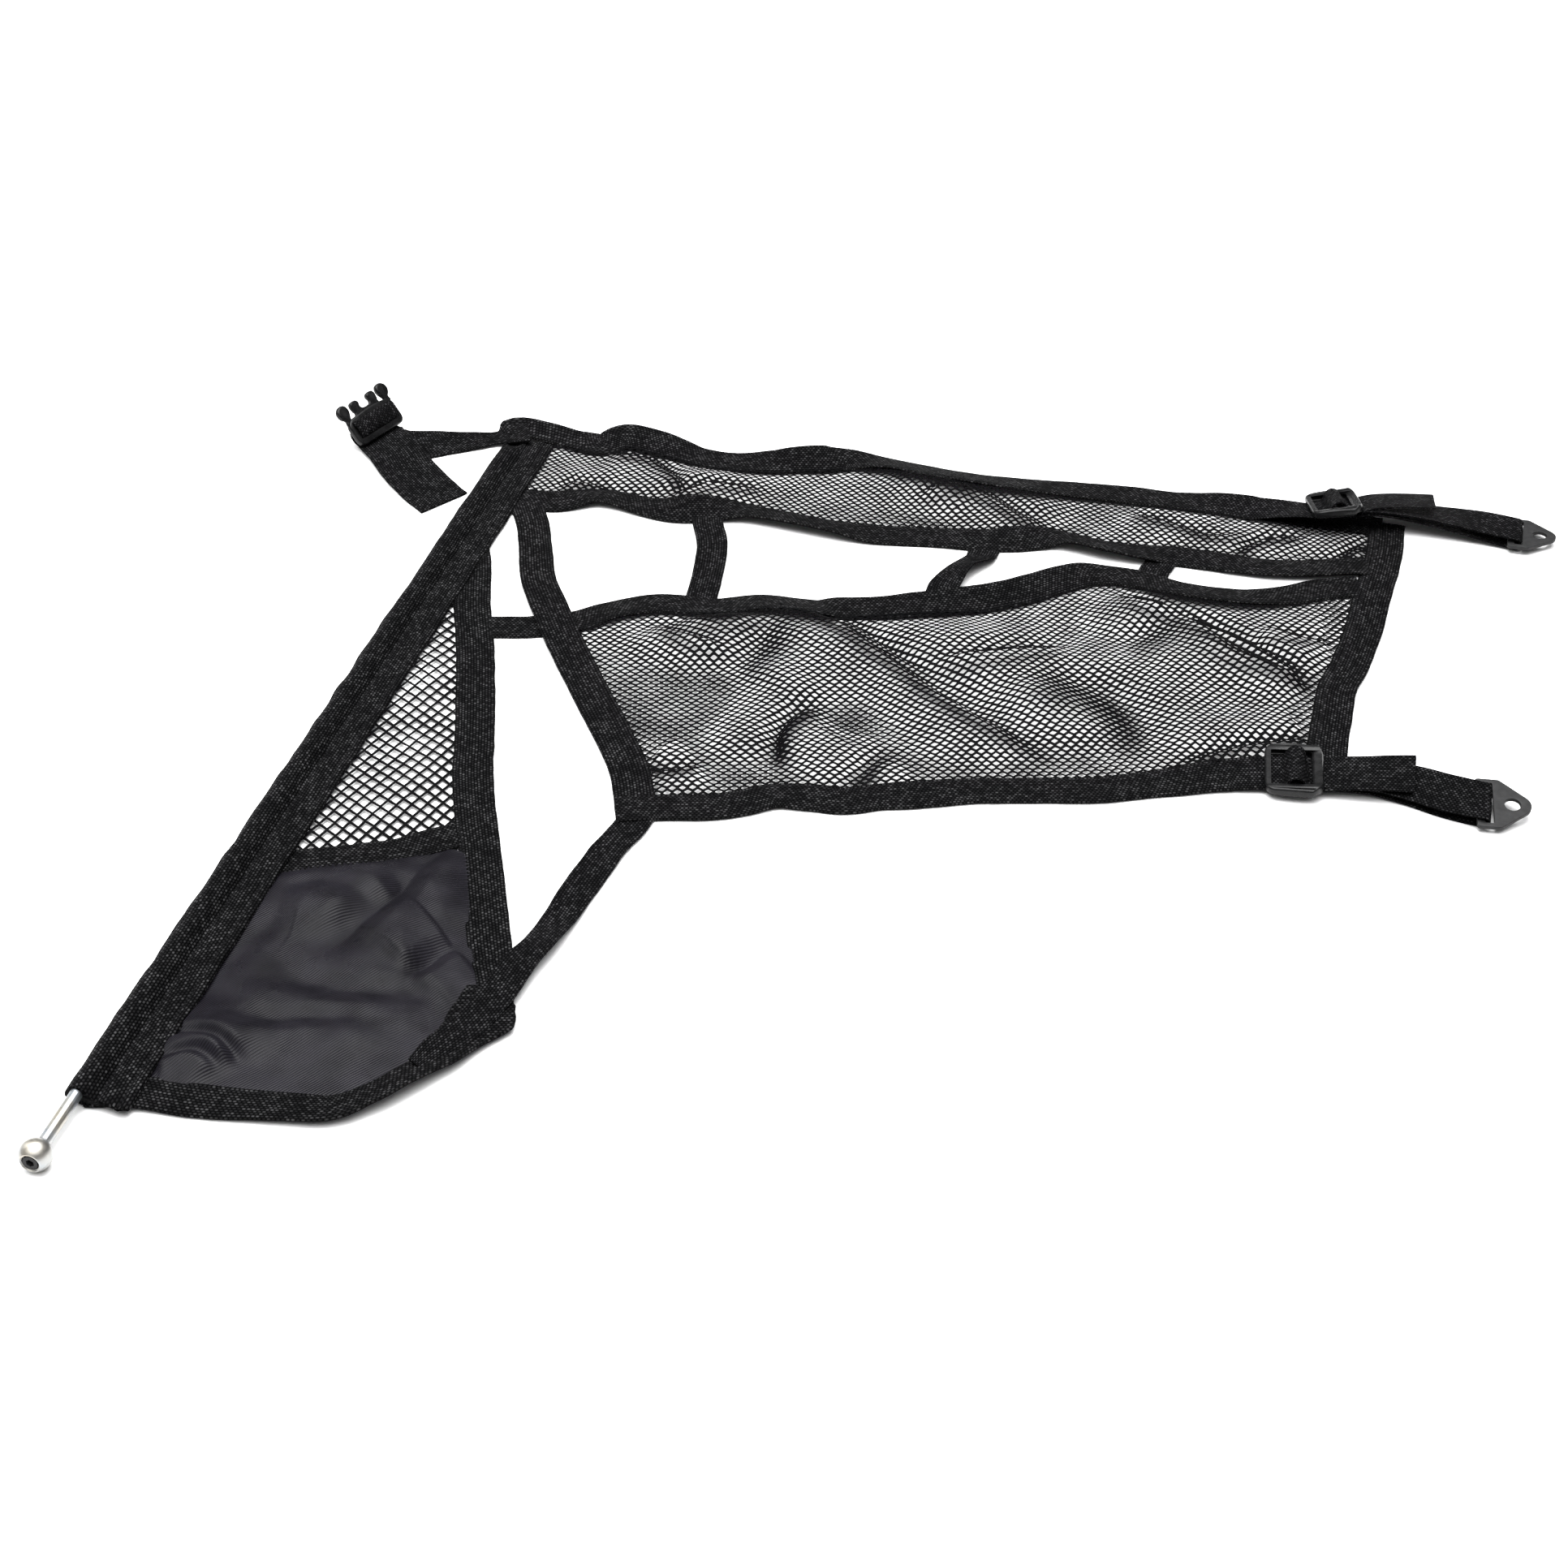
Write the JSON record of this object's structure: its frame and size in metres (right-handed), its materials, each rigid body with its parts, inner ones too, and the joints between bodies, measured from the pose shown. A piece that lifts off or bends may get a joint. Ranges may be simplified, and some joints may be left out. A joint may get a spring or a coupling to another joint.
{
  "type": "utility vehicle side window net",
  "caption": "Mesh side window net laid flat: webbing-bound mesh panels on a rod sleeve, with straps, adjusters, anchor tabs and a release buckle.",
  "frame": {"origin": "middle of the whole net's outline, on the table it lies on", "axes": "+X towards the rear straps, +Y up the door towards the release buckle, +Z away from the table"},
  "size_m": [1.0603, 0.9286, 0.0374],
  "materials": {
    "webbing": "woven black polyester webbing",
    "netting": "open black polyester netting",
    "nylon": "charcoal twill nylon",
    "plastic": "satin black acetal",
    "coated_steel": "grey coated steel",
    "zinc": "zinc plated steel"
  },
  "bodies": {
    "net": {"upper_top_binding": "webbing", "upper_bottom_binding": "webbing", "main_top_binding": "webbing", "main_bottom_binding": "webbing", "main_left_strap": "webbing", "rear_band": "webbing", "triangle_rear_binding": "webbing", "mid_band": "webbing", "lower_hem": "webbing", "corner_patch": "webbing", "diagonal_strap": "webbing", "connector_strap_1": "webbing", "connector_strap_2": "webbing", "connector_strap_3": "webbing", "sleeve_cap": "webbing", "rod_sleeve": "webbing", "lower_adjuster_loop": "webbing", "lower_loop_strap": "webbing", "upper_adjuster_loop": "webbing", "upper_loop_strap": "webbing", "release_strap": "webbing", "release_tail": "webbing", "upper_mesh": "netting", "main_mesh": "netting", "triangle_mesh": "netting", "lower_fabric": "nylon"},
    "rod": {"front_rod": "zinc", "rod_ball": "zinc", "ball_socket_screw": "zinc"},
    "lower_adjuster_body": {"lower_adjuster": "plastic", "lower_adjuster_webbing": "webbing", "lower_strap_tail": "webbing"},
    "upper_adjuster_body": {"upper_adjuster": "plastic", "upper_adjuster_webbing": "webbing", "upper_strap_tail": "webbing"},
    "lower_tab": {"lower_anchor_tab": "coated_steel"},
    "upper_tab": {"upper_anchor_tab": "coated_steel"},
    "release_buckle_body": {"release_buckle": "plastic", "release_buckle_webbing": "webbing"},
    "arm_left": {"buckle_arm_left": "plastic"},
    "arm_right": {"buckle_arm_right": "plastic"}
  },
  "joints": [
    {"name": "rod_slide", "type": "slide", "parent": "net", "child": "rod", "axis": [-0.2249, -0.9744, 0.0046], "range_m": [0, 0.3]},
    {"name": "lower_adjuster_hinge", "type": "hinge", "parent": "net", "child": "lower_adjuster_body", "pos_m": [0.2509, -0.0712, 0.0086], "axis": [-0.1388, -0.9879, -0.0698], "range_deg": [0, 35]},
    {"name": "upper_adjuster_hinge", "type": "hinge", "parent": "net", "child": "upper_adjuster_body", "pos_m": [0.3419, 0.2878, 0.014], "axis": [-0.0181, -0.9781, 0.2071], "range_deg": [0, 35]},
    {"name": "lower_tab_hinge", "type": "hinge", "parent": "net", "child": "lower_tab", "pos_m": [0.3899, -0.1122, 0.009], "axis": [-0.1366, -0.9721, -0.1908], "range_deg": [-8, 80]},
    {"name": "upper_tab_hinge", "type": "hinge", "parent": "net", "child": "upper_tab", "pos_m": [0.4989, 0.2588, 0.006], "axis": [-0.2588, -0.9659, 0], "range_deg": [-5, 80]},
    {"name": "release_buckle_hinge", "type": "hinge", "parent": "net", "child": "release_buckle_body", "pos_m": [-0.4331, 0.4268, 0.007], "axis": [0.524, 0.8517, 0], "range_deg": [-35, 20]},
    {"name": "arm_left_flex", "type": "hinge", "parent": "release_buckle_body", "child": "arm_left", "pos_m": [-0.43281, 0.45597, 0.02493], "axis": [0.6525, -0.4014, 0.6428], "range_deg": [0, 8], "stiffness_Nm_per_rad": 0.6},
    {"name": "arm_right_flex", "type": "hinge", "parent": "release_buckle_body", "child": "arm_right", "pos_m": [-0.45901, 0.41339, 0.02493], "axis": [-0.6525, 0.4014, -0.6428], "range_deg": [0, 8], "stiffness_Nm_per_rad": 0.6}
  ]
}
